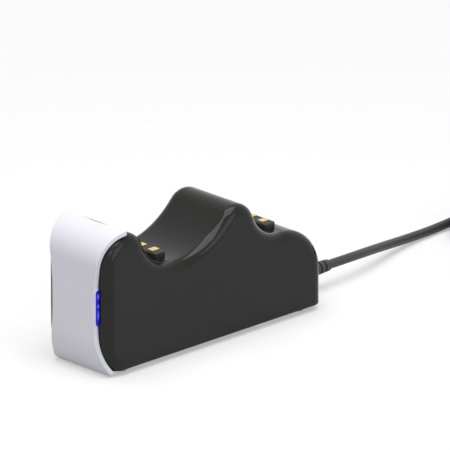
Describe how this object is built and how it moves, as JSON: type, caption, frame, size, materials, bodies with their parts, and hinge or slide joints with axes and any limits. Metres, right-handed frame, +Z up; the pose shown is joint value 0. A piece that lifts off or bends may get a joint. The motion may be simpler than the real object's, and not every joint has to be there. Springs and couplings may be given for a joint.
{
  "type": "controller charging dock",
  "caption": "Narrow two-seat charging dock for hand controllers: hourglass white front cover, black housing with a wave-shaped top, lit status strips and a captive cord.",
  "frame": {"origin": "on the floor under the middle of the dock, measured without its cord", "axes": "+Z up, -Y towards the front cover, +X to the right of someone who faces the back"},
  "size_m": [0.0698, 0.2999, 0.0675],
  "materials": {
    "white_shell": "satin",
    "black_shell": "gloss",
    "base_black": "fine matt texture",
    "foot_rubber": "matt",
    "screw_steel": "plain",
    "status_light": "clear blue, lit",
    "led_lens": "clear",
    "circuit_board": "solder mask",
    "chip_black": "matt",
    "capacitor_can": "satin",
    "contact_gold": "bright plated",
    "wire_sleeve": "smooth",
    "cord_jacket": "satin",
    "tie_strap": "matt",
    "plug_metal": "bright",
    "plug_insert": "plain"
  },
  "bodies": {
    "root": {"front_cover": "white_shell", "main_housing": "black_shell", "base_plate": "base_black", "front_terminal_block": "base_black", "rear_terminal_block": "base_black", "rubber_feet": "foot_rubber", "base_screws": "screw_steel", "led_board_screws": "screw_steel", "main_board_screws": "screw_steel", "front_terminal_screws": "screw_steel", "rear_terminal_screws": "screw_steel", "left_light_guide": "status_light", "right_light_guide": "status_light", "indicator_leds": "led_lens", "led_board": "circuit_board", "main_board": "circuit_board", "charge_chips": "chip_black", "inductors": "chip_black", "capacitors": "capacitor_can", "front_contacts": "contact_gold", "rear_contacts": "contact_gold", "plug_contacts": "contact_gold", "led_wires": "wire_sleeve", "supply_wires": "wire_sleeve", "front_terminal_wires": "wire_sleeve", "rear_terminal_wires": "wire_sleeve", "strain_relief": "cord_jacket", "power_cord": "cord_jacket", "cord_coil": "cord_jacket", "cord_tail": "cord_jacket", "plug_grip": "cord_jacket", "cord_tie": "tie_strap", "plug_shell": "plug_metal", "plug_tongue": "plug_insert"}
  },
  "joints": []
}
